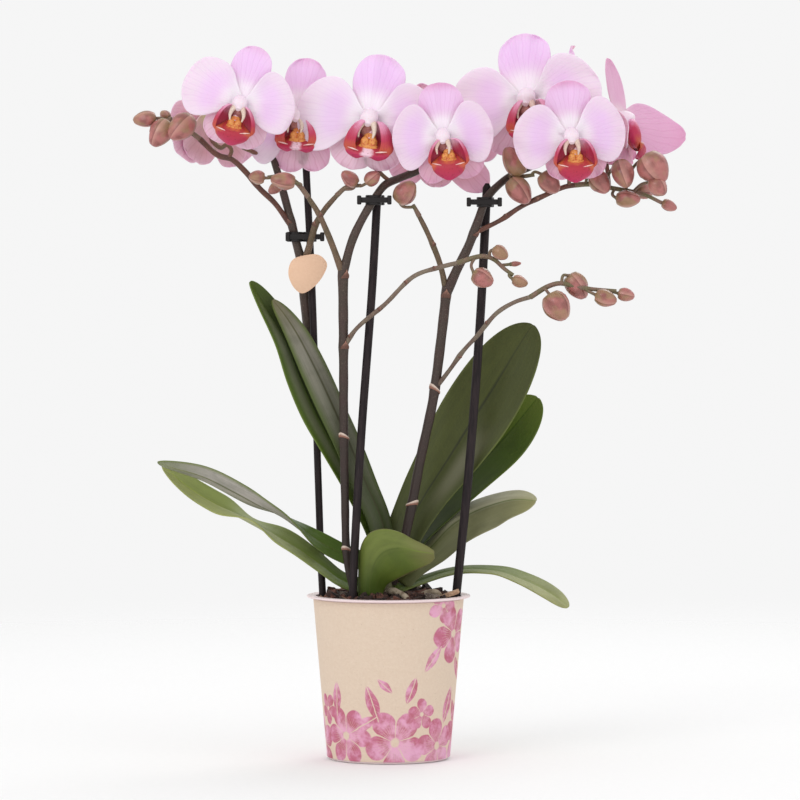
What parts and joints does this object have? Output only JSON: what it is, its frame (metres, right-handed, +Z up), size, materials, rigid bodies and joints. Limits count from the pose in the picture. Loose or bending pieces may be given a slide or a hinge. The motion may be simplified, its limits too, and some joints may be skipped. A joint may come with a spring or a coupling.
{
  "type": "potted orchid",
  "caption": "Potted moth orchid: tied flower spikes with pale pink blooms and buds over a rosette of strap leaves, in a small tapered printed pot.",
  "frame": {"origin": "centre of the pot's underside, at the height of the surface it stands on", "axes": "+Z up along the pot's axis; +X to the viewer's right as the blooms are faced; +Y away from the viewer"},
  "size_m": [0.2989, 0.1111, 0.3999],
  "materials": {
    "leaf": "satin, veined leaf",
    "crown": "matt, green to tan",
    "petal": "soft matt petal, pale pink with fine veins",
    "lip": "waxy, magenta with orange",
    "bud": "matt, pink-brown",
    "stem": "satin, brown-grey and speckled",
    "stake": "satin, brown-black",
    "clip": "satin, near black",
    "tag": "matt, bare peach card",
    "pot": "satin, pinkish white",
    "pot_print": "satin, printed kraft beige with pink",
    "bark": "rough bark chips, dark red-brown"
  },
  "bodies": {
    "root": {"bloom_1": "petal", "bloom_10": "petal", "bloom_2": "petal", "bloom_3": "petal", "bloom_4": "petal", "bloom_5": "petal", "bloom_6": "petal", "bloom_7": "petal", "bloom_8": "petal", "bloom_9": "petal", "buds_centre": "bud", "buds_far_left": "bud", "buds_far_right": "bud", "buds_left": "bud", "buds_low_left": "bud", "buds_low_right": "bud", "buds_middle": "bud", "buds_right": "bud", "clip_left": "clip", "clip_middle": "clip", "clip_right": "clip", "crown": "crown", "leaf_front": "leaf", "leaf_left_inner": "leaf", "leaf_left_lower": "leaf", "leaf_left_tall": "leaf", "leaf_left_upper": "leaf", "leaf_right_arching": "leaf", "leaf_right_back": "leaf", "leaf_right_side": "leaf", "leaf_right_tall": "leaf", "lip_1": "lip", "lip_10": "lip", "lip_2": "lip", "lip_3": "lip", "lip_4": "lip", "lip_5": "lip", "lip_6": "lip", "lip_7": "lip", "lip_8": "lip", "lip_9": "lip", "pot": "pot", "pot_wrap": "pot_print", "spike_left": "stem", "spike_middle": "stem", "spike_right": "stem", "stake_left": "stake", "stake_middle": "stake", "stake_right": "stake", "substrate": "bark", "tag": "tag"}
  },
  "joints": []
}
